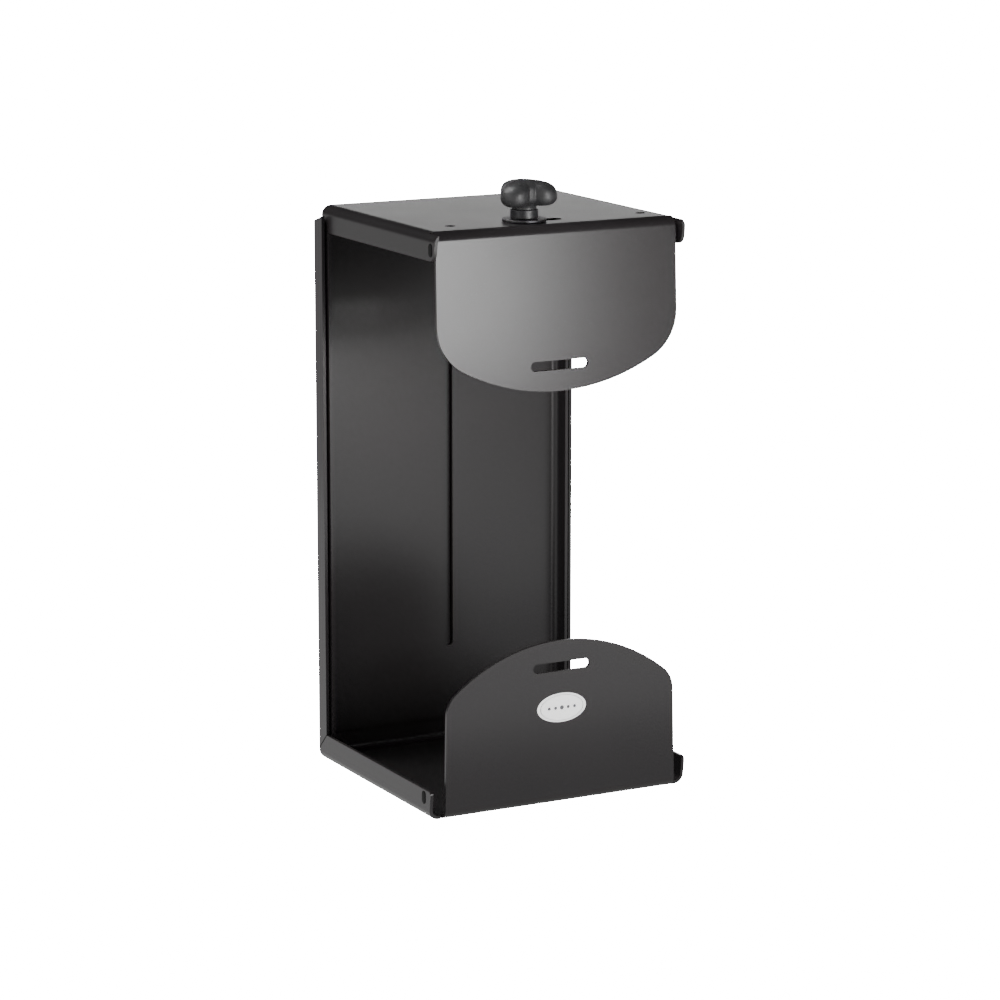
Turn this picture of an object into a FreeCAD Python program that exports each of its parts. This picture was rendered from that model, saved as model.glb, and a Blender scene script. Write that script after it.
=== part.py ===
import FreeCAD, Part
import math
import os

# Computer tower holder made of two nested bent-sheet frames.
# Millimetres. +X is the holder's right seen from the front, the lips face -Y, +Z is up.
# The origin is the centre of the base, on the surface the holder stands on.

V = FreeCAD.Vector

# ---- driving dimensions ------------------------------------------------------------
SHEET = 2.5             # steel sheet
BEND = 7.5              # outside radius of every bend
WIDTH = 218.0           # lower frame, outside
DEPTH = 203.1           # lip face to the back of the wall
HEIGHT = 437.8          # base to the top plate's upper face, upper frame fully lowered
NEST_GAP = 2.0          # clear space between the two frames, at the sides and at the back
SEAM = 0.8              # open mitre seam where two flanges meet

LOWER_TRAY_FLANGE = 22.0      # outside heights of the four side flanges
LOWER_WALL_FLANGE = 19.5
UPPER_TOP_FLANGE = 20.5
UPPER_WALL_FLANGE = 17.0
LOWER_WALL_TOP = HEIGHT - 14.0       # at the back face
LOWER_WALL_RISE = 6.5                # the flange ends rise this much towards the front
UPPER_WALL_END = 20.3                # height of the upper wall's lower edge

# The front end of each side flange: how far it starts behind the front at its free edge and
# at the plate, and the radius of its corner.
LOWER_NOSE = {"free": 2.5, "plate": 5.7, "radius": 3.0}
UPPER_NOSE = {"free": 3.7, "plate": 0.9, "radius": 8.0}

LIP_SLOT = (48.0, 7.2)
LIP_RELIEF = 1.2                     # bend relief beside each lip

HEIGHT_SLOT_X = 5.3
HEIGHT_SLOT_W = 6.6
HEIGHT_SLOT_Z = (78.3, 406.3)
HEIGHT_STUD_Z = (330.0, 390.0)
STUD_R = 3.0
HEIGHT_TRAVEL = 240.0
MOVING_GAP = 0.3                     # between faces that slide past each other

CLAMP_Y = -DEPTH / 2 + 37.6
CLAMP_SLOT = (37.0, 12.0)
CLAMP_TRAVEL = 35.0
SCREW_R = 4.0
RUNNING_GAP = 0.08

TOP_HOLE_X = (-73.4, 86.6)
TOP_HOLE_Y = -DEPTH / 2 + 38.1
TOP_HOLE_R = 4.0

LABEL = (41.5, 22.4, 0.5)            # width, height, thickness
LABEL_Z = 74.6

FRONT = -DEPTH / 2
REAR = DEPTH / 2
UPPER_HALF = WIDTH / 2 - SHEET - NEST_GAP
UPPER_REAR = REAR - SHEET - NEST_GAP
INNER_BEND = BEND - SHEET

# Each lip: half width at the bend, half width where its corner arc starts, height of the
# crown above the bend's sheet face, crown and corner radii, front face, lean, slot centre.
# A positive lean tips the free edge towards the back.
LOWER_LIP = {"half": 98.2, "half_end": 96.6, "apex": 126.3, "crown_r": 139.5,
             "corner_r": 21.0, "face_y": FRONT, "lean": 0.4, "slot_z": 106.3}
UPPER_LIP = {"half": 100.0, "half_end": 100.4, "apex": 123.0, "crown_r": 169.0,
             "corner_r": 39.0, "face_y": FRONT + 9.0, "lean": -2.25, "slot_z": 103.6}


# ---- small helpers -----------------------------------------------------------------
def box(x0, x1, y0, y1, z0, z1):
    return Part.makeBox(x1 - x0, y1 - y0, z1 - z0, V(x0, y0, z0))


def rod_z(radius, x, y, z0, z1):
    return Part.makeCylinder(radius, z1 - z0, V(x, y, z0), V(0, 0, 1))


def rod_y(radius, x, z, y0, y1):
    return Part.makeCylinder(radius, y1 - y0, V(x, y0, z), V(0, 1, 0))


def polygon(points):
    return Part.Face(Part.makePolygon(points + points[:1]))


def obround(centre, long_axis, short_axis, length, width, depth_vector):
    """A slot-shaped prism: straight sides joined by two half-round ends."""
    half = (length - width) / 2
    radius = width / 2
    right, left = centre + long_axis * half, centre - long_axis * half
    up = short_axis * radius
    edges = [
        Part.makeLine(left + up, right + up),
        Part.Arc(right + up, right + long_axis * radius, right - up).toShape(),
        Part.makeLine(right - up, left - up),
        Part.Arc(left - up, left - long_axis * radius, left + up).toShape(),
    ]
    return Part.Face(Part.Wire(edges)).extrude(depth_vector)


def hexagon_y(across_flats, x, z, y0, y1):
    corner = across_flats / math.sqrt(3)
    points = []
    for step in range(6):
        angle = math.radians(60 * step)
        points.append(V(x + corner * math.cos(angle), y0, z + corner * math.sin(angle)))
    return polygon(points).extrude(V(0, y1 - y0, 0))


# ---- bent-sheet frames -------------------------------------------------------------
# A frame is described with its plate at the bottom and its wall standing at the back.
# The upper frame is the same kind of shape, built like this and then turned over.
def bent_edges(block, half, rear, base):
    """The edges of a block that are bends: both sides of its base and of its back."""
    chosen = []
    for edge in block.Edges:
        middle = edge.CenterOfMass
        at_base = abs(middle.z - base) < 0.01
        at_rear = abs(middle.y - rear) < 0.01
        at_side = abs(abs(middle.x) - half) < 0.01
        if at_base + at_rear + at_side == 2:
            chosen.append(edge)
    return chosen


def rounded_block(half, front, rear, base, top, radius):
    block = box(-half, half, front, rear, base, top)
    return block.makeFillet(radius, bent_edges(block, half, rear, base))


def flange_limits(front, rear, ends, plate_flange, wall_flange, nose):
    """The side view of a frame: everything outside it is trimmed away."""
    over = 1.0
    end_rear, end_front = ends
    inner_y = rear - wall_flange
    corners = [
        V(0, front + nose["free"], plate_flange), V(0, inner_y, plate_flange),
        V(0, inner_y, end_front), V(0, rear, end_rear), V(0, rear + over, end_rear),
        V(0, rear + over, -over), V(0, front + nose["plate"], -over),
    ]
    reach = WIDTH
    block = polygon(corners).extrude(V(2 * reach, 0, 0)).translated(V(-reach, 0, 0))
    corner = [e for e in block.Edges
              if abs(e.CenterOfMass.y - corners[0].y) < 0.01
              and abs(e.CenterOfMass.z - corners[0].z) < 0.01]
    return block.makeFillet(nose["radius"], corner)


def flanged_sheet(half, front, rear, ends, plate_flange, wall_flange, nose):
    top = max(ends) + 2 * BEND
    outer = rounded_block(half, front - BEND, rear, 0, top, BEND)
    inner = rounded_block(half - SHEET, front - 2 * BEND, rear - SHEET, SHEET, top + BEND,
                          INNER_BEND)
    limits = flange_limits(front, rear, ends, plate_flange, wall_flange, nose)
    return outer.cut(inner).common(limits)


def mitre_seams(half, rear, plate_flange, wall_flange):
    """Thin 45 degree gaps where the plate's and the wall's side flanges meet."""
    inner = V(0, rear - wall_flange - SEAM, plate_flange + SEAM)
    outer = V(0, rear - 0.55 * BEND, 0.9 * BEND)
    across = V(0, 1, 1).normalize() * (SEAM / 2)
    strip = polygon([inner - across, outer - across, outer + across, inner + across])
    seams = []
    for side in (-1, 1):
        start = half - SHEET - SEAM if side > 0 else -half - SEAM
        seams.append(strip.extrude(V(SHEET + 2 * SEAM, 0, 0)).translated(V(start, 0, 0)))
    return seams


def lip_outline(lip):
    """The D-shaped outline in the XZ plane: two sides, two corner arcs and a crown."""
    crown = V(0, 0, lip["apex"] - lip["crown_r"])
    corner_x = lip["half_end"] - lip["corner_r"]
    reach = lip["crown_r"] - lip["corner_r"]
    corner = V(corner_x, 0, crown.z + math.sqrt(reach ** 2 - corner_x ** 2))
    slope = math.atan2(corner.z - crown.z, corner.x)

    def arc_point(centre, radius, angle):
        return centre + V(radius * math.cos(angle), 0, radius * math.sin(angle))

    side_top = V(lip["half_end"], 0, corner.z)
    shoulder = arc_point(crown, lip["crown_r"], slope)
    corner_mid = arc_point(corner, lip["corner_r"], slope / 2)
    apex = V(0, 0, lip["apex"])

    def mirrored(point):
        return V(-point.x, 0, point.z)

    base = V(lip["half"], 0, -SHEET)
    edges = [
        Part.makeLine(mirrored(base), base),
        Part.makeLine(base, side_top),
        Part.Arc(side_top, corner_mid, shoulder).toShape(),
        Part.Arc(shoulder, apex, mirrored(shoulder)).toShape(),
        Part.Arc(mirrored(shoulder), mirrored(corner_mid), mirrored(side_top)).toShape(),
        Part.makeLine(mirrored(side_top), mirrored(base)),
    ]
    return Part.Face(Part.Wire(edges))


def lip_bend_start(lip):
    """Where the flat plate ends and the lip's bend begins."""
    return lip["face_y"] + BEND * math.cos(math.radians(lip["lean"]))


def lip_strip(lip):
    """The lip's side view, plate end, bend and upright, spread over its width."""
    lean = math.radians(lip["lean"])
    along = V(0, math.sin(lean), math.cos(lean))
    outward = V(0, -math.cos(lean), math.sin(lean))
    centre = V(0, lip_bend_start(lip), BEND)
    half_turn = (math.pi / 2 + lean) / 2
    mid_way = V(0, -math.sin(half_turn), -math.cos(half_turn))
    length = lip["apex"]
    low_outer, low_inner = centre - V(0, 0, BEND), centre - V(0, 0, INNER_BEND)
    up_outer, up_inner = centre + outward * BEND, centre + outward * INNER_BEND
    edges = [
        Part.Arc(low_outer, centre + mid_way * BEND, up_outer).toShape(),
        Part.makeLine(up_outer, up_outer + along * length),
        Part.makeLine(up_outer + along * length, up_inner + along * length),
        Part.makeLine(up_inner + along * length, up_inner),
        Part.Arc(up_inner, centre + mid_way * INNER_BEND, low_inner).toShape(),
        Part.makeLine(low_inner, low_outer),
    ]
    half = max(lip["half"], lip["half_end"])
    strip = Part.Face(Part.Wire(edges)).extrude(V(2 * half, 0, 0))
    return strip.translated(V(-half, 0, 0))


def add_lip(sheet, lip, half, front):
    bend_start = lip_bend_start(lip)
    through = 4 * BEND
    clear_half = lip["half"] + LIP_RELIEF
    opening = box(-clear_half, clear_half, front - BEND, bend_start, -BEND, half)
    prism = lip_outline(lip).extrude(V(0, through, 0)).translated(V(0, front - BEND, 0))
    length, width = LIP_SLOT
    slot = obround(V(0, front - BEND, lip["slot_z"]), V(1, 0, 0), V(0, 0, 1),
                   length, width, V(0, through, 0))
    upright = lip_strip(lip).common(prism).cut(slot)
    return sheet.cut(opening).fuse(upright).removeSplitter()


def single_solid(shape):
    if len(shape.Solids) != 1:
        raise ValueError("expected one solid, got %d" % len(shape.Solids))
    return shape.Solids[0]


def make_lower_frame():
    half = WIDTH / 2
    sheet = flanged_sheet(half, FRONT, REAR, (LOWER_WALL_TOP, LOWER_WALL_TOP + LOWER_WALL_RISE),
                          LOWER_TRAY_FLANGE, LOWER_WALL_FLANGE, LOWER_NOSE)
    cuts = mitre_seams(half, REAR, LOWER_TRAY_FLANGE, LOWER_WALL_FLANGE)
    for z in HEIGHT_STUD_Z:
        cuts.append(height_stud(z))
    return single_solid(add_lip(sheet, LOWER_LIP, half, FRONT).cut(cuts))


def make_upper_frame():
    wall_end = HEIGHT - UPPER_WALL_END
    sheet = flanged_sheet(UPPER_HALF, FRONT, UPPER_REAR, (wall_end, wall_end),
                          UPPER_TOP_FLANGE, UPPER_WALL_FLANGE, UPPER_NOSE)
    cuts = mitre_seams(UPPER_HALF, UPPER_REAR, UPPER_TOP_FLANGE, UPPER_WALL_FLANGE)
    low, high = HEIGHT - HEIGHT_SLOT_Z[1], HEIGHT - HEIGHT_SLOT_Z[0]
    cuts.append(obround(V(HEIGHT_SLOT_X, UPPER_REAR + 1, (low + high) / 2), V(0, 0, 1),
                        V(1, 0, 0), high - low, HEIGHT_SLOT_W, V(0, -SHEET - 2, 0)))
    length, width = CLAMP_SLOT
    cuts.append(obround(V(0, CLAMP_Y, -1), V(1, 0, 0), V(0, 1, 0), length, width,
                        V(0, 0, SHEET + 2)))
    for x in TOP_HOLE_X:
        cuts.append(rod_z(TOP_HOLE_R, x, TOP_HOLE_Y, -1, SHEET + 1))
    upside_down = add_lip(sheet, UPPER_LIP, UPPER_HALF, FRONT).cut(cuts)
    turned = upside_down.mirror(V(0, 0, 0), V(0, 0, 1)).translated(V(0, 0, HEIGHT))
    return single_solid(turned)


# ---- label -------------------------------------------------------------------------
def make_label_plate():
    width, height, thickness = LABEL
    lean = LOWER_LIP["lean"]
    ellipse = Part.Ellipse(V(0, 0, 0), width / 2, height / 2).toShape()
    plate = Part.Face(Part.Wire([ellipse])).extrude(V(0, 0, thickness))
    plate.rotate(V(0, 0, 0), V(1, 0, 0), 90 - lean)
    face_y = LOWER_LIP["face_y"] + (LABEL_Z - BEND) * math.tan(math.radians(lean))
    return plate.translated(V(0, face_y, LABEL_Z))


# ---- height adjustment -------------------------------------------------------------
STUD_HEAD = (4.5, 1.2)               # radius and thickness of the flush head
GLIDE = (8.0, NEST_GAP - MOVING_GAP)
WASHER = (9.0, 1.6)
NUT = (10.0, 6.0)
STUD_END = 1.8                       # thread standing out past the nut
FRONT_WASHER_BACK = UPPER_REAR - SHEET - MOVING_GAP
HARDWARE_HOLE_R = STUD_R + RUNNING_GAP


def height_stud(z):
    head_r, head_t = STUD_HEAD
    tip = FRONT_WASHER_BACK - WASHER[1] - NUT[1] - STUD_END
    shank = rod_y(STUD_R, HEIGHT_SLOT_X, z, tip, REAR)
    head = rod_y(head_r, HEIGHT_SLOT_X, z, REAR - head_t, REAR)
    tip_edge = [e for e in shank.Edges if abs(e.CenterOfMass.y - tip) < 0.01]
    return shank.makeChamfer(0.7, tip_edge).fuse(head).removeSplitter()


def ring_y(outer_r, z, y0, y1):
    ring = rod_y(outer_r, HEIGHT_SLOT_X, z, y0, y1)
    return ring.cut(rod_y(HARDWARE_HOLE_R, HEIGHT_SLOT_X, z, y0 - 1, y1 + 1))


def glide_washer(z):
    face = REAR - SHEET
    return ring_y(GLIDE[0], z, face - GLIDE[1], face)


def front_washer(z):
    return ring_y(WASHER[0], z, FRONT_WASHER_BACK - WASHER[1], FRONT_WASHER_BACK)


def height_nut(z):
    back = FRONT_WASHER_BACK - WASHER[1]
    front = back - NUT[1]
    nut = hexagon_y(NUT[0], HEIGHT_SLOT_X, z, front, back)
    corner = NUT[0] / math.sqrt(3)
    crown = Part.makeCone(NUT[0] / 2 - 0.2, corner + 0.6, NUT[1], V(HEIGHT_SLOT_X, front, z),
                          V(0, 1, 0))
    nut = nut.common(crown.fuse(rod_y(corner + 0.6, HEIGHT_SLOT_X, z, front + 1.2, back)))
    return nut.cut(rod_y(HARDWARE_HOLE_R, HEIGHT_SLOT_X, z, front - 1, back + 1))


# ---- hold-down clamp ---------------------------------------------------------------
BOSS_R = CLAMP_SLOT[1] / 2 - MOVING_GAP
CLAMP_X = -(CLAMP_SLOT[0] / 2 - MOVING_GAP - BOSS_R)     # against the slot's left end
CLAMP_SHIFT = -2 * CLAMP_X
SLOT_WASHER = (16.5, 1.8)
NUT_PLATE = (30.0, 24.0, 5.0)
CARRIAGE_TOP = HEIGHT + MOVING_GAP + SLOT_WASHER[1]
NUT_PLATE_TOP = HEIGHT - SHEET - MOVING_GAP
NUT_PLATE_BOTTOM = NUT_PLATE_TOP - NUT_PLATE[2]

KNOB_BASE = CARRIAGE_TOP + MOVING_GAP
COLLAR = (10.4, 6.6)
NECK = (9.3, 4.6)
HEAD_HEIGHT = 16.0
LOBE_OFFSET = 14.0
LOBE_R = 10.5
LOBE_ANGLE = -27.8                   # degrees from +X of the lobe that points front-right
WAIST_R = 12.5                       # hollow between two lobes
INSERT_DEPTH = 12.0                  # how far the stud reaches into the knob's head

FOOT_TOP = NUT_PLATE_BOTTOM - CLAMP_TRAVEL - 0.7
FOOT = (14.0, 7.0)
FOOT_WEB = 3.0
FOOT_RECESS_R = 7.5
SPIGOT_R = 3.0
CLIP = (5.5, 1.0)
PAD_T = 4.0


def make_nut_plate():
    length, width, thick = NUT_PLATE
    plate = box(CLAMP_X - length / 2, CLAMP_X + length / 2, CLAMP_Y - width / 2,
                CLAMP_Y + width / 2, NUT_PLATE_BOTTOM, NUT_PLATE_TOP)
    uprights = [e for e in plate.Edges if abs(e.BoundBox.ZLength - thick) < 0.01]
    plate = plate.makeFillet(3.0, uprights)
    boss = rod_z(BOSS_R, CLAMP_X, CLAMP_Y, NUT_PLATE_TOP, CARRIAGE_TOP)
    bore = rod_z(SCREW_R + RUNNING_GAP, CLAMP_X, CLAMP_Y, NUT_PLATE_BOTTOM - 1,
                 CARRIAGE_TOP + 1)
    return plate.fuse(boss).cut(bore).removeSplitter()


def make_slot_washer():
    bottom = HEIGHT + MOVING_GAP
    washer = rod_z(SLOT_WASHER[0], CLAMP_X, CLAMP_Y, bottom, CARRIAGE_TOP)
    return washer.cut(rod_z(BOSS_R, CLAMP_X, CLAMP_Y, bottom - 1, CARRIAGE_TOP + 1))


def make_clamp_stud():
    top = KNOB_BASE + COLLAR[1] + NECK[1] + INSERT_DEPTH
    shoulder = FOOT_TOP + MOVING_GAP
    thread = rod_z(SCREW_R, CLAMP_X, CLAMP_Y, shoulder, top)
    tip = FOOT_TOP - FOOT_WEB - MOVING_GAP - CLIP[1] - 0.8
    spigot = rod_z(SPIGOT_R, CLAMP_X, CLAMP_Y, tip, shoulder)
    return thread.fuse(spigot).removeSplitter()


def lobed_prism(offset, lobe_r, waist_r, z0, z1):
    """Three round lobes about the screw, joined by a round middle."""
    body = rod_z(waist_r, CLAMP_X, CLAMP_Y, z0, z1)
    for step in range(3):
        angle = math.radians(LOBE_ANGLE + 120 * step)
        x = CLAMP_X + offset * math.cos(angle)
        y = CLAMP_Y + offset * math.sin(angle)
        body = body.fuse(rod_z(lobe_r, x, y, z0, z1))
    return body.removeSplitter()


def make_knob_head():
    neck_base = KNOB_BASE + COLLAR[1]
    head_base = neck_base + NECK[1]
    head_top = head_base + HEAD_HEIGHT
    head = lobed_prism(LOBE_OFFSET, LOBE_R, WAIST_R, head_base, head_top)
    dome_r = 60.0
    dome = Part.makeSphere(dome_r, V(CLAMP_X, CLAMP_Y, head_top - dome_r))
    head = head.common(dome)
    neck = rod_z(NECK[0], CLAMP_X, CLAMP_Y, neck_base, head_base)
    socket = rod_z(SCREW_R, CLAMP_X, CLAMP_Y, neck_base - 1, head_base + INSERT_DEPTH)
    return head.fuse(neck).cut(socket).removeSplitter()


def make_knob_collar():
    top = KNOB_BASE + COLLAR[1]
    collar = rod_z(COLLAR[0], CLAMP_X, CLAMP_Y, KNOB_BASE, top)
    return collar.cut(rod_z(SCREW_R, CLAMP_X, CLAMP_Y, KNOB_BASE - 1, top + 1))


def make_swivel_foot():
    bottom = FOOT_TOP - FOOT[1]
    foot = rod_z(FOOT[0], CLAMP_X, CLAMP_Y, bottom, FOOT_TOP)
    rim = [e for e in foot.Edges if abs(e.CenterOfMass.z - FOOT_TOP) < 0.01]
    foot = foot.makeFillet(1.5, rim)
    recess = rod_z(FOOT_RECESS_R, CLAMP_X, CLAMP_Y, bottom - 1, FOOT_TOP - FOOT_WEB)
    hole = rod_z(SPIGOT_R + RUNNING_GAP, CLAMP_X, CLAMP_Y, bottom, FOOT_TOP + 1)
    return foot.cut([recess, hole])


def make_foot_clip():
    top = FOOT_TOP - FOOT_WEB - MOVING_GAP
    clip = rod_z(CLIP[0], CLAMP_X, CLAMP_Y, top - CLIP[1], top)
    hole = rod_z(SPIGOT_R, CLAMP_X, CLAMP_Y, top - CLIP[1] - 1, top + 1)
    mouth = box(CLAMP_X - 2.0, CLAMP_X + 2.0, CLAMP_Y - 2 * CLIP[0], CLAMP_Y - 2.5,
                top - CLIP[1] - 1, top + 1)
    return clip.cut([hole, mouth])


def make_foot_pad():
    top = FOOT_TOP - FOOT[1]
    return rod_z(FOOT[0], CLAMP_X, CLAMP_Y, top - PAD_T, top)


# ---- assembly ----------------------------------------------------------------------
def build():
    parts = {
        "lower_frame": make_lower_frame(),
        "upper_frame": make_upper_frame(),
        "label_plate": make_label_plate(),
        "clamp_nut_plate": make_nut_plate(),
        "clamp_slot_washer": make_slot_washer(),
        "clamp_stud": make_clamp_stud(),
        "knob_head": make_knob_head(),
        "knob_collar": make_knob_collar(),
        "clamp_foot_cup": make_swivel_foot(),
        "clamp_foot_clip": make_foot_clip(),
        "clamp_foot_pad": make_foot_pad(),
    }
    for number, z in enumerate(HEIGHT_STUD_Z, start=1):
        parts["height_stud_%d" % number] = height_stud(z)
        parts["glide_washer_%d" % number] = glide_washer(z)
        parts["front_washer_%d" % number] = front_washer(z)
        parts["height_nut_%d" % number] = height_nut(z)
    return parts


def main():
    os.makedirs("parts", exist_ok=True)
    for name, shape in build().items():
        if not shape.isValid():
            raise ValueError("%s is not a valid shape" % name)
        shape.exportStep("parts/%s.step" % name)
        size = shape.BoundBox
        print("%-18s solids %d  x %.1f..%.1f  y %.1f..%.1f  z %.1f..%.1f  %.1f cm3" % (
            name, len(shape.Solids), size.XMin, size.XMax, size.YMin, size.YMax,
            size.ZMin, size.ZMax, shape.Volume / 1000))
    print("clamp shift %.1f, clamp travel %.1f, height travel %.1f" % (
        CLAMP_SHIFT, CLAMP_TRAVEL, HEIGHT_TRAVEL))


main()
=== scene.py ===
import math

import bmesh
import bpy
from mathutils import Matrix, Vector


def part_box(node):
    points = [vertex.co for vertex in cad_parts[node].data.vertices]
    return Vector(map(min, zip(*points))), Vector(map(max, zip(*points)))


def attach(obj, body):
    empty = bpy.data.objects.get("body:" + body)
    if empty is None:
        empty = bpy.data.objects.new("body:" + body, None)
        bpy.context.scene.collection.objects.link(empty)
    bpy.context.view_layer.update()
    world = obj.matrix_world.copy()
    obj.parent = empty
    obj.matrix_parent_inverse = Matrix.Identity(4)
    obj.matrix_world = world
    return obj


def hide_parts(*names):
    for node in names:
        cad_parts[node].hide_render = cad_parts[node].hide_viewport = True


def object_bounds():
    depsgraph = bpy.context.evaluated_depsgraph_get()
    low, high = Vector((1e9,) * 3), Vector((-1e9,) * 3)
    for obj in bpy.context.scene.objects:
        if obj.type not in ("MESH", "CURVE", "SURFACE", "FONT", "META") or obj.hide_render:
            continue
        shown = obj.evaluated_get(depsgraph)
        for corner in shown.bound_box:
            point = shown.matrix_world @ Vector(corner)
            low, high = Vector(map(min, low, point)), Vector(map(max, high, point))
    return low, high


# A holder for a computer tower: two nested bent-sheet frames in satin black powder coat, a
# plain oval label, height-adjusting hardware and a knob clamp. Metres, in the part's own
# frame: X to the right as seen from the front, Y to the back and Z up.

MM = 0.001
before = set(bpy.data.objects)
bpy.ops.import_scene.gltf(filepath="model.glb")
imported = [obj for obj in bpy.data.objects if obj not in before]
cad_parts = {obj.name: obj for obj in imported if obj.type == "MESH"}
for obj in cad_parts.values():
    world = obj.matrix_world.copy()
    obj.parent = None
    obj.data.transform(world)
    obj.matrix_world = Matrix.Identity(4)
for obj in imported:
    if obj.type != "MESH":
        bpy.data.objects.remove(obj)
cad_low, cad_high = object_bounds()


def add_object(name, data):
    """A new object in the scene."""
    made = bpy.data.objects.new(name, data)
    bpy.context.scene.collection.objects.link(made)
    return made


def angles(count):
    """The angles of count points spaced evenly round a circle."""
    return [2 * math.pi * step / count for step in range(count)]


# ---- camera ------------------------------------------------------------------------
CAMERA_PLACE = Vector((-1.2943, -2.4580, 0.7950))
CAMERA_AZIMUTH = math.radians(27.79)     # how far round to the left the camera stands
CAMERA_PITCH = math.radians(11.80)       # how far down it looks
CAMERA_LENS = 133.4
SENSOR_WIDTH = 36.0


def make_camera():
    data = bpy.data.cameras.new("camera")
    data.lens = CAMERA_LENS
    data.sensor_width = SENSOR_WIDTH
    camera = add_object("camera", data)
    back = Vector((-math.sin(CAMERA_AZIMUTH) * math.cos(CAMERA_PITCH),
                   -math.cos(CAMERA_AZIMUTH) * math.cos(CAMERA_PITCH),
                   math.sin(CAMERA_PITCH)))
    right = Vector((math.cos(CAMERA_AZIMUTH), -math.sin(CAMERA_AZIMUTH), 0.0))
    up = back.cross(right)
    turn = Matrix((right, up, back)).transposed().to_4x4()
    camera.matrix_world = Matrix.Translation(CAMERA_PLACE) @ turn
    bpy.context.scene.camera = camera


# ---- node helpers ------------------------------------------------------------------
class Finish:
    """A material under construction: its shader and short ways to add texture nodes."""

    def __init__(self, name, colour, roughness, metallic=0.0):
        self.material = bpy.data.materials.new(name)
        self.material.use_nodes = True
        self.tree = self.material.node_tree
        self.shader = self.tree.nodes["Principled BSDF"]
        self.fix("Base Color", (*colour, 1.0))
        self.fix("Roughness", roughness)
        self.fix("Metallic", metallic)
        self.place = self.tree.nodes.new("ShaderNodeTexCoord").outputs["Object"]

    def fix(self, socket, value):
        """Gives the shader's socket one value all over."""
        self.shader.inputs[socket].default_value = value

    def drive(self, socket, output):
        """Lets a texture output set the shader's socket."""
        self.link(output, self.shader.inputs[socket])

    def link(self, output, target):
        self.tree.links.new(output, target)

    def noise(self, size, detail=2.0, roughness=0.5, stretch=None):
        """Noise whose features are about size metres across, from 0 to 1."""
        node = self.tree.nodes.new("ShaderNodeTexNoise")
        node.inputs["Scale"].default_value = 1.0 / size
        node.inputs["Detail"].default_value = detail
        node.inputs["Roughness"].default_value = roughness
        place = self.place
        if stretch:
            mapping = self.tree.nodes.new("ShaderNodeMapping")
            mapping.inputs["Scale"].default_value = stretch
            self.link(place, mapping.inputs["Vector"])
            place = mapping.outputs["Vector"]
        self.link(place, node.inputs["Vector"])
        return node.outputs["Fac"]

    def spread(self, value, low, high, from_low=0.3, from_high=0.7):
        """The value's range from_low to from_high, stretched to low to high."""
        node = self.tree.nodes.new("ShaderNodeMapRange")
        for socket, number in zip(("From Min", "From Max", "To Min", "To Max"),
                                  (from_low, from_high, low, high)):
            node.inputs[socket].default_value = number
        self.link(value, node.inputs["Value"])
        return node.outputs["Result"]

    def edge_wear(self, patches, least):
        """Wear on the bevels only, from least to 1 where the patches say."""
        edges = self.tree.nodes.new("ShaderNodeAttribute")
        edges.attribute_name = "edge_wear"
        node = self.tree.nodes.new("ShaderNodeMath")
        node.operation = "MULTIPLY"
        self.link(edges.outputs["Fac"], node.inputs[0])
        self.link(self.spread(patches, least, 1.0), node.inputs[1])
        return node.outputs["Value"]

    def blend(self, factor, low_colour, high_colour):
        """A mix of two colours, each a tuple or another node's output."""
        node = self.tree.nodes.new("ShaderNodeMix")
        node.data_type = "RGBA"
        self.link(factor, node.inputs["Factor"])
        for socket, colour in (("A", low_colour), ("B", high_colour)):
            target = [i for i in node.inputs if i.name == socket and i.type == "RGBA"][0]
            if isinstance(colour, tuple):
                target.default_value = (*colour, 1.0)
            else:
                self.link(colour, target)
        return [o for o in node.outputs if o.type == "RGBA"][0]

    def bump(self, height, depth):
        """Relief of about depth metres."""
        node = self.tree.nodes.new("ShaderNodeBump")
        node.inputs["Distance"].default_value = depth
        self.link(height, node.inputs["Height"])
        self.drive("Normal", node.outputs["Normal"])


# ---- materials ---------------------------------------------------------------------
COAT_DARK = (0.0225, 0.0197, 0.0207)
COAT_LIGHT = (0.0245, 0.0217, 0.0227)
COAT_FLECK = (0.025, 0.025, 0.026)
COAT_RUBBED = (0.085, 0.084, 0.085)


def make_powder_coat():
    """Satin black powder coat: orange peel, faint clouding, and thin rubbed edges."""
    finish = Finish("powder_coat", colour=(0.020, 0.0175, 0.0185), roughness=0.28)
    cloud = finish.spread(finish.noise(size=0.09, detail=3.0), 0.0, 1.0)
    fleck = finish.spread(finish.noise(size=0.0011, detail=1.0), 0.0, 1.0, 0.62, 0.74)
    wear = finish.edge_wear(finish.noise(size=0.012, detail=4.0, roughness=0.65), least=0.15)
    clouded = finish.blend(cloud, COAT_DARK, COAT_LIGHT)
    flecked = finish.blend(fleck, clouded, COAT_FLECK)
    finish.drive("Base Color", finish.blend(wear, flecked, COAT_RUBBED))
    finish.drive("Roughness", finish.spread(finish.noise(size=0.04), 0.274, 0.286))
    finish.bump(finish.noise(size=0.0026, detail=1.0), depth=0.000012)
    return finish.material


PLASTIC_WEAR = 2.2           # how many times as light as the light tone a rubbed edge is


def make_moulded_plastic(name, colour, light_colour, roughness, grain, depth):
    """Black plastic with a fine moulded grain, grain and depth in metres."""
    finish = Finish(name, colour, roughness)
    cloud = finish.noise(size=0.006, detail=4.0)
    wear = finish.edge_wear(cloud, least=0.2)
    tone = finish.blend(finish.spread(cloud, 0.0, 1.0), colour, light_colour)
    rubbed = tuple(PLASTIC_WEAR * c for c in light_colour)
    finish.drive("Base Color", finish.blend(wear, tone, rubbed))
    finish.drive("Roughness", finish.spread(finish.noise(size=0.002), roughness - 0.05,
                                            roughness + 0.07))
    finish.bump(finish.noise(grain), depth)
    return finish.material


BLACK_STEEL_DARK = (0.035, 0.035, 0.038)
BLACK_STEEL_LIGHT = (0.065, 0.065, 0.07)
BARE_STEEL = (0.22, 0.22, 0.22)


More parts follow.
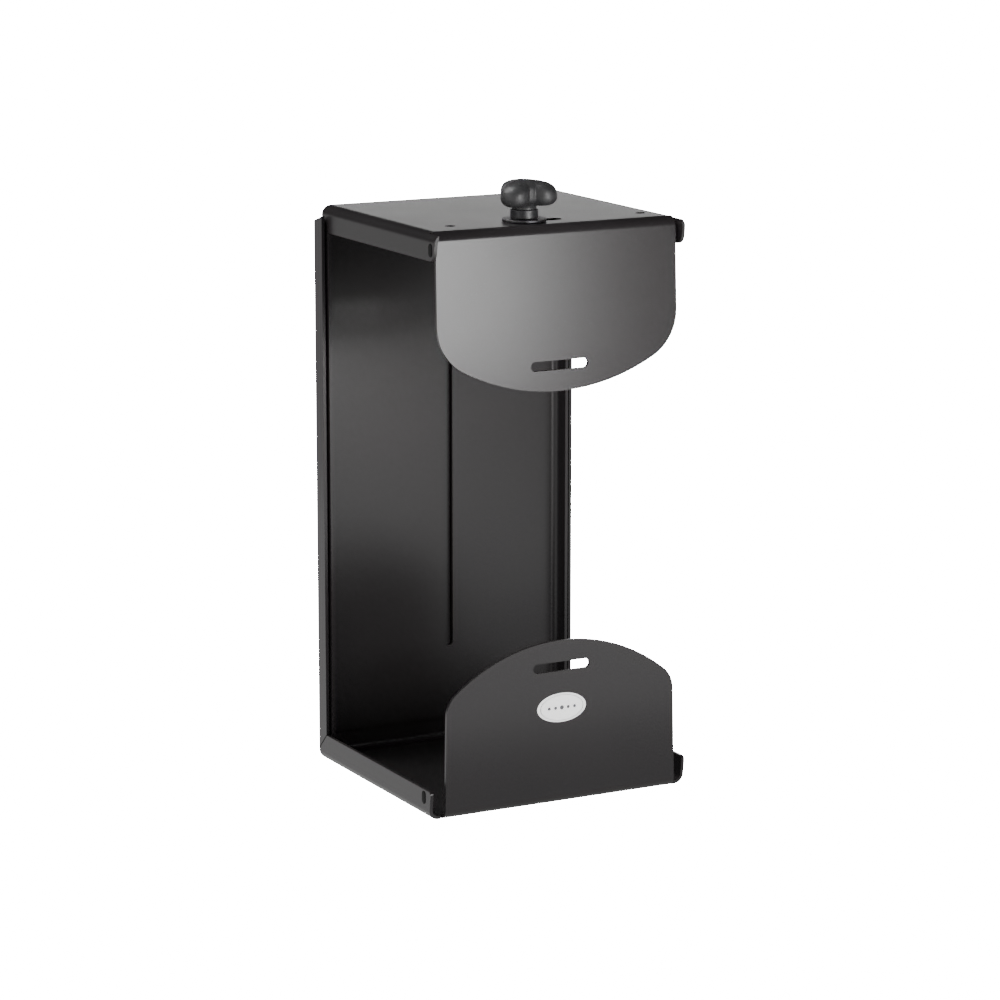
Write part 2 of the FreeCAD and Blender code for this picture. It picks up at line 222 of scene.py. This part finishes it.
def make_black_steel():
    """Black oxide: a little blue-grey, and barer on the edges."""
    finish = Finish("black_steel", colour=(0.05, 0.05, 0.053), roughness=0.38, metallic=0.75)
    patch = finish.noise(size=0.004, detail=5.0, roughness=0.6)
    wear = finish.edge_wear(patch, least=0.2)
    tone = finish.blend(finish.spread(patch, 0.0, 1.0), BLACK_STEEL_DARK, BLACK_STEEL_LIGHT)
    finish.drive("Base Color", finish.blend(wear, tone, BARE_STEEL))
    finish.drive("Roughness", finish.spread(finish.noise(size=0.0015), 0.30, 0.48))
    finish.bump(finish.noise(size=0.0004, detail=3.0), depth=0.000008)
    return finish.material


ZINC_YELLOW = (0.60, 0.585, 0.54)
ZINC_BLUE = (0.55, 0.57, 0.60)


def make_zinc_steel():
    """Bright zinc plate, faintly yellow and blue in patches, with fine turning marks."""
    finish = Finish("zinc_steel", colour=(0.58, 0.58, 0.57), roughness=0.30, metallic=1.0)
    patch = finish.spread(finish.noise(size=0.005, detail=3.0), 0.0, 1.0)
    finish.drive("Base Color", finish.blend(patch, ZINC_YELLOW, ZINC_BLUE))
    finish.drive("Roughness", finish.spread(finish.noise(size=0.0012, detail=4.0), 0.22, 0.42))
    marks = finish.noise(size=0.0006, detail=3.0, stretch=(0.15, 0.15, 3.0))
    finish.bump(marks, depth=0.00001)
    return finish.material


FOOT_RUBBER = (0.016, 0.016, 0.016)
FOOT_DUST = (0.045, 0.044, 0.042)


def make_foot_rubber():
    """Dusty black rubber with a fine grain."""
    finish = Finish("foot_rubber", colour=(0.018, 0.018, 0.018), roughness=0.75)
    mottle = finish.noise(size=0.003, detail=5.0, roughness=0.7)
    mottle_mask = finish.spread(mottle, 0.0, 1.0, 0.45, 0.75)
    finish.drive("Base Color", finish.blend(mottle_mask, FOOT_RUBBER, FOOT_DUST))
    finish.bump(finish.noise(size=0.0007, detail=3.0), depth=0.00004)
    return finish.material


# Painted shade: the tones of the dark domed patches near the flanges' front ends.
SHADE_PATCH_DARK = (0.005, 0.005, 0.005)
SHADE_PATCH_MOTTLE = (0.012, 0.012, 0.012)


def make_painted_shade_patch():
    """Painted shade: matt near-black, darker than the coat round it, with a faint mottle."""
    finish = Finish("painted_shade_patch", colour=(0.006, 0.006, 0.006), roughness=0.65)
    finish.fix("Specular IOR Level", 0.2)
    mottle = finish.noise(size=0.002, detail=4.0, roughness=0.7)
    mottle_mask = finish.spread(mottle, 0.0, 1.0, 0.5, 0.75)
    finish.drive("Base Color", finish.blend(mottle_mask, SHADE_PATCH_DARK, SHADE_PATCH_MOTTLE))
    return finish.material


PAPER_CREAM = (0.91, 0.91, 0.89)
PAPER_WHITE = (0.94, 0.94, 0.93)
LABEL_GLOW = 0.8             # emission that keeps the label white in this soft light


def make_label_face():
    """Off-white print under a clear dome."""
    finish = Finish("label", colour=(0.93, 0.93, 0.92), roughness=0.22)
    finish.fix("Emission Color", (1.0, 1.0, 0.98, 1.0))
    finish.fix("Emission Strength", LABEL_GLOW)
    finish.fix("Coat Weight", 0.6)
    finish.fix("Coat Roughness", 0.08)
    paper = finish.spread(finish.noise(size=0.004, detail=4.0), 0.0, 1.0)
    finish.drive("Base Color", finish.blend(paper, PAPER_CREAM, PAPER_WHITE))
    finish.bump(finish.noise(size=0.003), depth=0.00001)
    return finish.material


INK_DARK = (0.13, 0.13, 0.14)
INK_LIGHT = (0.20, 0.20, 0.21)


def make_label_ink():
    """Dark grey ink, a little uneven."""
    finish = Finish("label_ink", colour=(0.16, 0.16, 0.17), roughness=0.3)
    density = finish.spread(finish.noise(size=0.0008), 0.0, 1.0)
    finish.drive("Base Color", finish.blend(density, INK_DARK, INK_LIGHT))
    return finish.material


MATERIALS = {
    "powder_coat": make_powder_coat(),
    "knob_plastic": make_moulded_plastic(
        "knob_plastic", (0.026, 0.026, 0.027), (0.036, 0.036, 0.037), roughness=0.44,
        grain=0.0005, depth=0.00005),
    "collar_plastic": make_moulded_plastic(
        "collar_plastic", (0.016, 0.016, 0.018), (0.024, 0.024, 0.026), roughness=0.40,
        grain=0.0012, depth=0.00002),
    "nylon": make_moulded_plastic(
        "nylon", (0.045, 0.045, 0.047), (0.06, 0.06, 0.062), roughness=0.5,
        grain=0.0009, depth=0.00002),
    "black_steel": make_black_steel(),
    "zinc_steel": make_zinc_steel(),
    "foot_rubber": make_foot_rubber(),
    "label": make_label_face(),
    "label_ink": make_label_ink(),
    # painted shade for the dark patches on the flanges
    "painted_shade_patch": make_painted_shade_patch(),
}


# ---- mesh helpers ------------------------------------------------------------------
FACE_WEIGHT = 100            # the most that large faces can count in the shading normals
SHARP_ANGLE = math.radians(35)           # sharper edges than this are rounded
FLAT_ANGLE = math.radians(0.4)           # faces that meet flatter than this become one
MERGE_DISTANCE = 0.002 * MM
NOSE_DEPTH = 0.013           # how far behind the front the flanges' front ends reach
FREE_EDGE_ROUND = 1.7 * MM
FREE_EDGE_SEGMENTS = 5
SIDE_TOLERANCE = 0.05 * MM   # how near the side face an edge on it lies
STRAIGHT = 0.97              # the least direction cosine of an edge along Y or Z


def new_piece(name, bm, slot, body, replaces=(), material=None):
    """A finished mesh as an object that rides on its body."""
    mesh = bpy.data.meshes.new(name)
    bm.to_mesh(mesh)
    bm.free()
    piece = add_object(name, mesh)
    mesh.materials.append(material or MATERIALS[slot])
    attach(piece, body)
    if replaces:
        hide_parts(*replaces)
    return piece


def smooth(piece):
    """Smooth shading all over."""
    for polygon in piece.data.polygons:
        polygon.use_smooth = True


def even_shading(piece):
    """Smooth shading in which the large faces stay flat and only the bevels round off."""
    smooth(piece)
    weighted = piece.modifiers.new("flat_faces", "WEIGHTED_NORMAL")
    weighted.weight = FACE_WEIGHT
    weighted.keep_sharp = False


def round_edges(bm, edges, radius, segments):
    """Bevels the edges round. The result names the faces that it made."""
    return bmesh.ops.bevel(bm, geom=edges, offset=radius, offset_type="OFFSET", profile=0.5,
                           segments=segments, affect="EDGES", clamp_overlap=True)


def round_free_edges(bm):
    """Rounds the outer edge of each side flange, along its free side and its front end."""
    side = max(v.co.x for v in bm.verts)
    front = min(v.co.y for v in bm.verts)
    corners = []
    for edge in bm.edges:
        first, second = (v.co for v in edge.verts)
        along = (second - first).normalized()
        outer = min(abs(first.x), abs(second.x)) > side - SIDE_TOLERANCE
        nose = max(first.y, second.y) < front + NOSE_DEPTH
        straight = max(abs(along.y), abs(along.z)) > STRAIGHT
        if outer and (nose or straight) and edge.calc_face_angle(0.0) > SHARP_ANGLE:
            corners.append(edge)
    round_edges(bm, corners, FREE_EDGE_ROUND, FREE_EDGE_SEGMENTS)


def softened(node, name, slot, body, width, segments=2, free_edges=False):
    """The CAD node's shape with every sharp edge broken by a round bevel, width in mm."""
    bm = bmesh.new()
    bm.from_mesh(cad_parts[node].data)
    bmesh.ops.remove_doubles(bm, verts=bm.verts, dist=MERGE_DISTANCE)
    bmesh.ops.dissolve_limit(bm, angle_limit=FLAT_ANGLE, verts=bm.verts, edges=bm.edges)
    if free_edges:
        round_free_edges(bm)
    sharp = [e for e in bm.edges
             if len(e.link_faces) == 2 and e.calc_face_angle(0.0) > SHARP_ANGLE]
    made = round_edges(bm, sharp, width * MM, segments)
    wear = bm.loops.layers.float_color.new("edge_wear")
    rounded = set(made["faces"])
    for face in bm.faces:
        amount = 1.0 if face in rounded else 0.0
        for loop in face.loops:
            loop[wear] = (amount, amount, amount, 1.0)
    piece = new_piece(name, bm, slot, body, replaces=(node,))
    cad_normals = piece.data.attributes.get("custom_normal")
    if cad_normals is not None:
        piece.data.attributes.remove(cad_normals)
    even_shading(piece)


def bridge_rings(bm, rings):
    """Joins rings of points, each as long as the last, with faces. A ring of one is a tip."""
    made = [[bm.verts.new(point) for point in ring] for ring in rings]
    for low, high in zip(made, made[1:]):
        count = max(len(low), len(high))
        for i in range(count):
            j = (i + 1) % count
            if len(low) == 1:
                corners = (low[0], high[j], high[i])
            elif len(high) == 1:
                corners = (low[i], low[j], high[0])
            else:
                corners = (low[i], low[j], high[j], high[i])
            bm.faces.new(corners)


def skin(*stacks):
    """One mesh over one or more stacks of rings, with its faces turned outwards."""
    bm = bmesh.new()
    for rings in stacks:
        bridge_rings(bm, rings)
    bmesh.ops.recalc_face_normals(bm, faces=bm.faces)
    return bm


def turned(name, outline, foot, slot, body, sides=96):
    """A turned piece: (radius, height) points in mm over its foot, from axis to axis."""
    rings = []
    for radius, height in outline:
        level = foot + Vector((0, 0, height)) * MM
        if radius == 0:
            rings.append([level])
        else:
            rings.append([level + Vector((math.cos(angle), math.sin(angle), 0)) * radius * MM
                          for angle in angles(sides)])
    even_shading(new_piece(name, skin(rings), slot, body))


# ---- clamp knob --------------------------------------------------------------------
# Lengths in millimetres.
KNOB_SIDES = 144
KNOB_LOBES = 3
LOBE_OFFSET = 14.0
LOBE_RADIUS = 10.5
WAIST_RADIUS = 12.5
LOBE_ANGLE = math.radians(-27.8)         # where the first lobe points
HEAD_HEIGHT = 19.5
HEAD_RISE = 1.5              # how far the head's crown stands over the CAD's
DOME_RADIUS = 60.0
VALLEY_SOFTNESS = 12         # lower is softer

# Below the widest line: height above the head's base and how far in the outline is.
KNOB_UNDERSIDE = ((0.0, 7.6), (0.3, 5.7), (1.1, 3.7), (2.4, 1.9), (4.2, 0.6), (6.4, 0.0))
# Above it: how far in the outline is and how far below the dome.
KNOB_SHOULDER = ((0.0, 5.6), (0.35, 4.0), (1.0, 2.7), (2.2, 1.4), (3.8, 0.5), (5.6, 0.1))
KNOB_CROWN = (0.80, 0.66, 0.5, 0.34, 0.17)     # shares of the outline over the dome

# The boss under the head: radius and height over the foot of the CAD's head.
BOSS_OUTLINE = ((0, 0), (8.7, 0), (9.1, 0.15), (9.25, 0.5), (9.25, 4.9), (0, 4.9))


def knob_outline(angle, inset):
    """The distance from the screw's axis to the three-lobe outline."""
    reaches = [WAIST_RADIUS - inset]
    radius = LOBE_RADIUS - inset
    for lobe in range(KNOB_LOBES):
        off = angle - LOBE_ANGLE - lobe * 2 * math.pi / KNOB_LOBES
        aside = LOBE_OFFSET * math.sin(off)
        if abs(aside) < radius and math.cos(off) > 0:
            reaches.append(LOBE_OFFSET * math.cos(off) + math.sqrt(radius ** 2 - aside ** 2))
    return sum(r ** VALLEY_SOFTNESS for r in reaches) ** (1 / VALLEY_SOFTNESS)


def dome_height(radius):
    """The height of the head's domed top over its base."""
    return HEAD_HEIGHT - radius ** 2 / (2 * DOME_RADIUS)


def knob_ring(base, inset, height_of, share=1.0):
    """The outline, inset and shrunk to a share, at the height that each radius gives."""
    ring = []
    for angle in angles(KNOB_SIDES):
        radius = share * knob_outline(angle, inset)
        ring.append(base + Vector((radius * math.cos(angle), radius * math.sin(angle),
                                   height_of(radius))) * MM)
    return ring


def knob_axis_at(height):
    """The point of the knob's axis at a height in metres."""
    low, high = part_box("knob_collar")
    point = (low + high) / 2
    point.z = height
    return point


def make_knob_head():
    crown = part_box("knob_head")[1].z + HEAD_RISE * MM
    base = knob_axis_at(crown - HEAD_HEIGHT * MM)
    rings = [[base]]
    for height, inset in KNOB_UNDERSIDE:
        rings.append(knob_ring(base, inset, lambda radius: height))
    for inset, drop in KNOB_SHOULDER:
        rings.append(knob_ring(base, inset, lambda radius: dome_height(radius) - drop))
    last_inset = KNOB_SHOULDER[-1][0]
    for share in KNOB_CROWN:
        rings.append(knob_ring(base, last_inset, dome_height, share))
    rings.append([base + Vector((0, 0, HEAD_HEIGHT)) * MM])
    smooth(new_piece("knob_three_lobe", skin(rings), "knob_plastic", "clamp_screw",
                     replaces=("knob_head",)))


def make_knob_boss():
    """The moulded boss that joins the knob's head to its collar."""
    foot = knob_axis_at(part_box("knob_head")[0].z)
    turned("knob_boss", BOSS_OUTLINE, foot, "knob_plastic", "clamp_screw")


# ---- threads -----------------------------------------------------------------------
# Lengths in millimetres.
THREAD_SIDES = 36
STEPS_PER_TURN = 8
THREAD_DEPTH = 0.61          # over the pitch
FLANK_SLOPE = 1.25           # steep enough to leave a flat at the root
CREST_FLAT = 0.12
CLAMP_THREAD = {"radius": 4.0, "pitch": 1.25, "chamfer": 1.0}
STUD_THREAD = {"radius": 3.0, "pitch": 1.0, "chamfer": 0.7}

SPIGOT_RADIUS = 3.0
SPIGOT_CHAMFER = 0.5
SPIGOT_SHOW = 0.3            # how much of the spigot shows above the foot's cup
SPIGOT_SIDES = 48

STUD_THREAD_LENGTH = 8.9
STUD_RUNOUT = 0.1            # from the end of the thread to the full shank
SHANK_RADIUS = 2.95
STUD_HEAD_RADIUS = 4.45
STUD_HEAD_THICKNESS = 1.2
STUD_CHAMFER_IN = 0.2
STUD_CHAMFER_LONG = 0.15


def thread_radius(radius, pitch, along, angle):
    """A 60 degree thread with small flats at its crest and root."""
    phase = (along / pitch - angle / (2 * math.pi)) % 1.0
    ramp = abs(2 * phase - 1)
    depth = THREAD_DEPTH * pitch
    return radius - depth * min(1.0, max(0.0, FLANK_SLOPE * ramp - CREST_FLAT))


def threaded_rows(radius, pitch, chamfer, length):
    """Rows of (radius, height, angle) up a thread with a chamfer at its start."""
    steps = int(length / pitch * STEPS_PER_TURN)
    rows = []
    for step in range(steps + 1):
        along = length * step / steps
        rows.append([(min(thread_radius(radius, pitch, along, angle),
                          radius - chamfer + along), along, angle)
                     for angle in angles(THREAD_SIDES)])
    return rows


def make_thread(name, node, body, start, direction, length, thread, tail=()):
    """A threaded rod from its free tip. tail is (radius, height) points after the thread."""
    turn = Vector((0, 0, 1)).rotation_difference(direction)
    rows = threaded_rows(length=length, **thread)
    for radius, height in tail:
        rows.append([(radius, height, angle) for angle in angles(THREAD_SIDES)])

    def place(radius, along, angle):
        point = Vector((radius * math.cos(angle), radius * math.sin(angle), along))
        return start + turn @ (point * MM)

    rings = [[place(0, 0, 0)]]
    rings += [[place(*point) for point in row] for row in rows]
    end_height = rows[-1][0][1]
    rings.append([place(0, end_height, 0)])
    even_shading(new_piece(name, skin(rings), "zinc_steel", body, replaces=(node,)))


def make_clamp_screw():
    """M8 screw: a plain spigot that the foot turns on, then thread up into the knob."""
    low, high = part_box("clamp_stud")
    centre = (low + high) / 2
    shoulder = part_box("clamp_foot_cup")[1].z + SPIGOT_SHOW * MM
    spigot_length = (shoulder - low.z) / MM
    outline = ((0, 0), (SPIGOT_RADIUS - SPIGOT_CHAMFER, 0), (SPIGOT_RADIUS, SPIGOT_CHAMFER),
               (SPIGOT_RADIUS, spigot_length), (0, spigot_length))
    turned("clamp_screw_spigot", outline, Vector((centre.x, centre.y, low.z)), "zinc_steel",
           "clamp_screw", sides=SPIGOT_SIDES)
    make_thread("clamp_screw_thread", "clamp_stud", "clamp_screw",
                Vector((centre.x, centre.y, shoulder)), Vector((0, 0, 1)),
                (high.z - shoulder) / MM, CLAMP_THREAD)


def make_height_stud(number):
    """M6 stud: thread on the inside, a plain shank and a flush round head at the back."""
    node = "height_stud_%d" % number
    low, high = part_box(node)
    centre = (low + high) / 2
    length = (high.y - low.y) / MM
    head = length - STUD_HEAD_THICKNESS
    tail = ((SHANK_RADIUS, STUD_THREAD_LENGTH + STUD_RUNOUT), (SHANK_RADIUS, head),
            (STUD_HEAD_RADIUS, head), (STUD_HEAD_RADIUS, length - STUD_CHAMFER_LONG),
            (STUD_HEAD_RADIUS - STUD_CHAMFER_IN, length))
    make_thread("height_stud_thread_%d" % number, node, "base",
                Vector((centre.x, low.y, centre.z)), Vector((0, 1, 0)),
                STUD_THREAD_LENGTH, STUD_THREAD, tail)


# ---- label -------------------------------------------------------------------------
# Shares are of the label's half size. Lifts, off its back, and other sizes are in mm.
LABEL_SIDES = 96
LABEL_THICKNESS = 0.5        # of the CAD's flat plate
LABEL_CROWN = 0.55
LABEL_RINGS = ((1.0, 0.0), (1.0, 0.22), (0.992, 0.34), (0.975, 0.42), (0.94, 0.47),
               (0.86, 0.50), (0.6, 0.53), (0.3, 0.545))     # share, lift
BORDER_BANDS = ((0.885, 0.50), (0.885, 0.56), (0.862, 0.56), (0.862, 0.49))     # share, lift
DOT_STEPS = range(-2, 3)     # places in the row, from the middle
DOT_PITCH = 5.4
DOT_RADIUS = 1.25
MIDDLE_DOT_RADIUS = 1.7
DOT_LIFT = 0.535
DOT_THICKNESS = 0.05
DOT_SIDES = 32


def label_frame():
    """The middle of the label's back, its half width and height, and its own axes."""
    low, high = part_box("label_plate")
    half_width = (high.x - low.x) / 2
    half_height = (high.z - low.z) / 2
    slope = ((high.y - low.y) - LABEL_THICKNESS * MM) / (2 * half_height)
    up = Vector((0, slope, 1)).normalized()
    out = Vector((0, -1, slope)).normalized()
    centre = Vector(((low.x + high.x) / 2, (low.y + high.y) / 2, (low.z + high.z) / 2))
    back = centre - out * (LABEL_THICKNESS / 2) * MM
    return back, half_width, half_height, up, out


def make_label():
    """A low clear dome with a printed border and a row of dots."""
    back, half_width, half_height, up, out = label_frame()
    side = Vector((1, 0, 0))

    def rim(share, lift):
        return [back + side * half_width * share * math.cos(angle)
                + up * half_height * share * math.sin(angle) + out * lift * MM
                for angle in angles(LABEL_SIDES)]

    def dot(step):
        middle = back + side * DOT_PITCH * step * MM + out * DOT_LIFT * MM
        radius = (DOT_RADIUS if step else MIDDLE_DOT_RADIUS) * MM
        ring = [middle + (side * math.cos(angle) + up * math.sin(angle)) * radius
                for angle in angles(DOT_SIDES)]
        raised = [point + out * DOT_THICKNESS * MM for point in ring]
        return [[middle], ring, raised, [middle + out * DOT_THICKNESS * MM]]

    dome = [[back]] + [rim(*row) for row in LABEL_RINGS] + [[back + out * LABEL_CROWN * MM]]
    border = [rim(*row) for row in BORDER_BANDS]
    dots = [dot(step) for step in DOT_STEPS]
    ink = MATERIALS["label_ink"]
    even_shading(new_piece("label_dome", skin(dome), "label", "base",
                           replaces=("label_plate",)))
    new_piece("label_border", skin(border), "label", "base", material=ink)
    new_piece("label_dots", skin(*dots), "label", "base", material=ink)


# ---- the holder --------------------------------------------------------------------
# Lengths in millimetres.
FRAME_BEVEL = 0.45
FRAME_SEGMENTS = 3
HEIGHT_BEVEL = 0.2

# Where each painted-shade patch's middle is: how far behind the front, and how far above the
# foot of the lower frame or below the top of the upper one.
SHADE_PATCH_PLACES = {"lower": (14.1, 15.8), "upper": (8.9, 12.4)}
SHADE_PATCH_WIDTH = 5.6
SHADE_PATCH_LENGTH = 10.0
SHADE_PATCH_DOME = ((1.0, 0.0), (1.0, 0.2), (0.93, 0.38), (0.8, 0.46), (0.45, 0.5))     # share, lift
SHADE_PATCH_ARC_STEPS = 12

# node, material slot, body, bevel width, bevel segments
CLAMP_PIECES = (
    ("clamp_nut_plate", "zinc_steel", "clamp_carriage", 0.3, 2),
    ("clamp_slot_washer", "black_steel", "clamp_carriage", 0.35, 2),
    ("clamp_foot_cup", "black_steel", "clamp_foot", 0.3, 2),
    ("clamp_foot_pad", "foot_rubber", "clamp_foot", 0.5, 3),
    ("clamp_foot_clip", "zinc_steel", "clamp_screw", 0.15, 2),
    ("knob_collar", "collar_plastic", "clamp_screw", 0.5, 3),
)
HEIGHT_PIECES = (("glide_washer", "nylon"), ("front_washer", "black_steel"),
                 ("height_nut", "black_steel"))


def make_frames():
    for node, body in (("lower_frame", "base"), ("upper_frame", "upper")):
        softened(node, node + "_sheet", "powder_coat", body, FRAME_BEVEL, FRAME_SEGMENTS,
                 free_edges=True)


def shade_patch_ring(centre, outward, share, lift):
    """An upright obround in the YZ plane, shrunk to a share and lifted off the flange."""
    radius = SHADE_PATCH_WIDTH / 2 * share
    straight = (SHADE_PATCH_LENGTH - SHADE_PATCH_WIDTH) / 2 * share
    ring = []
    for end, start in ((1, 0.0), (-1, math.pi)):
        for step in range(SHADE_PATCH_ARC_STEPS + 1):
            angle = math.pi * step / SHADE_PATCH_ARC_STEPS + start
            ring.append(centre + Vector((outward * lift, radius * math.cos(angle),
                                         end * straight + radius * math.sin(angle))) * MM)
    return ring


def make_shade_patches():
    """Low domed near-black patches of painted shade near the front end of the four side
    flanges.
    """
    crown = SHADE_PATCH_DOME[-1][1]
    for frame_name, body in (("lower", "base"), ("upper", "upper")):
        low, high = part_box(frame_name + "_frame")
        back, up = SHADE_PATCH_PLACES[frame_name]
        height = low.z + up * MM if frame_name == "lower" else high.z - up * MM
        for side, side_name, face in ((-1, "left", low.x), (1, "right", high.x)):
            centre = Vector((face, cad_low.y + back * MM, height))
            rings = [[centre]] + [shade_patch_ring(centre, side, *row) for row in SHADE_PATCH_DOME]
            rings.append([centre + Vector((side * crown * MM, 0, 0))])
            # Each patch is painted shade near a flange's front end.
            name = "%s_%s_shade_patch" % (frame_name, side_name)
            even_shading(new_piece(name, skin(rings), "foot_rubber", body,
                                   material=MATERIALS["painted_shade_patch"]))


def make_height_hardware():
    for number in (1, 2):
        for kind, slot in HEIGHT_PIECES:
            softened("%s_%d" % (kind, number), "%s_body_%d" % (kind, number), slot, "base",
                     HEIGHT_BEVEL)
        make_height_stud(number)


def make_clamp():
    for node, slot, body, width, segments in CLAMP_PIECES:
        softened(node, node + "_body", slot, body, width, segments)
    make_clamp_screw()
    make_knob_boss()
    make_knob_head()


# ---- studio ------------------------------------------------------------------------
FLOOR_HALF = 14.0
FLOOR_GAP = 0.5 * MM         # between the floor and the holder
BACKDROP_RADIUS = 12.0
BACKDROP_SUBDIVISIONS = 4
STAGE_GLOW = 30.0

GROUND_STRENGTH = 0.56
SKY_STRENGTH = 0.05
HORIZON_BLEND = 0.03         # sine of the angle, either side of the horizon, where they mix

# name, place, aim, width, height, watts
LAMPS = (
    ("front_panel", (0.11, -0.70, 0.37), (0.0, -0.1, 0.36), 0.35, 0.24, 3.50),
    ("front_core_panel", (0.11, -0.70, 0.36), (0.0, -0.1, 0.36), 0.24, 0.26, 0.40),
    ("front_foot_panel", (0.22, -0.80, 0.12), (-0.05, -0.1, 0.20), 0.50, 0.20, 0.26),
    ("front_floor_glow", (0.25, -0.62, 0.01), (0.25, -0.62, 1.0), 0.70, 0.70, 1.25),
    ("back_right_panel", (1.30, 2.30, 0.50), (0.0, 0.0, 0.40), 3.40, 0.70, 13.7),
    ("left_floor_glow", (-0.46, 0.40, -0.002), (-0.46, 0.40, 1.0), 0.72, 1.30, 1.07),
    ("left_panel", (-1.50, -0.40, 0.60), (0.0, 0.0, 0.30), 1.0, 1.0, 6.2),
    ("high_left_panel", (-0.80, 0.40, 1.30), (0.0, 0.0, 0.44), 0.60, 0.60, 9.5),
)

SNOOT_PLACE = Vector((-0.35, 0.10, 1.20))
SNOOT_POWER = 50.0
SNOOT_CONE = math.radians(5.0)
SNOOT_BLEND = 0.8            # the share of the cone that fades out
SNOOT_RADIUS = 0.04


def glow_material(name, strength):
    """A plain white light-emitting material."""
    material = bpy.data.materials.new(name)
    material.use_nodes = True
    tree = material.node_tree
    tree.nodes.clear()
    emission = tree.nodes.new("ShaderNodeEmission")
    emission.inputs["Strength"].default_value = strength
    output = tree.nodes.new("ShaderNodeOutputMaterial")
    tree.links.new(emission.outputs["Emission"], output.inputs["Surface"])
    return material


def stage_piece(name, bm, height):
    """A white piece of the stage that only the camera sees: it neither lights nor shades."""
    mesh = bpy.data.meshes.new(name)
    bm.to_mesh(mesh)
    bm.free()
    piece = add_object(name, mesh)
    piece.location.z = height
    mesh.materials.append(glow_material(name + "_white", STAGE_GLOW))
    piece.visible_diffuse = False
    piece.visible_glossy = False
    piece.visible_shadow = False


def make_floor():
    """A pale floor, and round it a sphere that fills the view above the horizon."""
    floor = bmesh.new()
    bmesh.ops.create_grid(floor, x_segments=1, y_segments=1, size=FLOOR_HALF)
    stage_piece("floor", floor, -FLOOR_GAP)
    backdrop = bmesh.new()
    bmesh.ops.create_icosphere(backdrop, subdivisions=BACKDROP_SUBDIVISIONS,
                               radius=BACKDROP_RADIUS)
    stage_piece("backdrop", backdrop, 0.0)


def make_world():
    """Pale below the horizon, as a lit floor would be, and dark above it."""
    world = bpy.data.worlds.new("studio")
    bpy.context.scene.world = world
    world.use_nodes = True
    tree = world.node_tree
    background = tree.nodes["Background"]
    background.inputs["Color"].default_value = (1.0, 1.0, 1.0, 1.0)
    coordinates = tree.nodes.new("ShaderNodeTexCoord")
    split = tree.nodes.new("ShaderNodeSeparateXYZ")
    ramp = tree.nodes.new("ShaderNodeMapRange")
    for socket, number in (("From Min", -HORIZON_BLEND), ("From Max", HORIZON_BLEND),
                           ("To Min", GROUND_STRENGTH), ("To Max", SKY_STRENGTH)):
        ramp.inputs[socket].default_value = number
    tree.links.new(coordinates.outputs["Generated"], split.inputs["Vector"])
    tree.links.new(split.outputs["Z"], ramp.inputs["Value"])
    tree.links.new(ramp.outputs["Result"], background.inputs["Strength"])


def aimed(place, target):
    """Where a lamp stands and how it turns to shine from place at target."""
    turn = (target - place).to_track_quat("-Z", "Y").to_matrix().to_4x4()
    return Matrix.Translation(place) @ turn


def make_lamp(name, place, target, width, height, power):
    data = bpy.data.lights.new(name, "AREA")
    data.shape = "RECTANGLE"
    data.size = width
    data.size_y = height
    data.energy = power
    lamp = add_object(name, data)
    lamp.matrix_world = aimed(Vector(place), Vector(target))
    lamp.visible_camera = False


def make_knob_snoot():
    """A narrow high lamp from the left that picks the knob out from the top plate."""
    low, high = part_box("knob_collar")
    data = bpy.data.lights.new("knob_snoot", "SPOT")
    data.energy = SNOOT_POWER
    data.spot_size = SNOOT_CONE
    data.spot_blend = SNOOT_BLEND
    data.shadow_soft_size = SNOOT_RADIUS
    snoot = add_object("knob_snoot", data)
    snoot.matrix_world = aimed(SNOOT_PLACE, (low + high) / 2)


def make_studio():
    make_floor()
    make_world()
    for lamp in LAMPS:
        make_lamp(*lamp)
    make_knob_snoot()


make_camera()
make_frames()
make_shade_patches()
make_label()
make_height_hardware()
make_clamp()
make_studio()
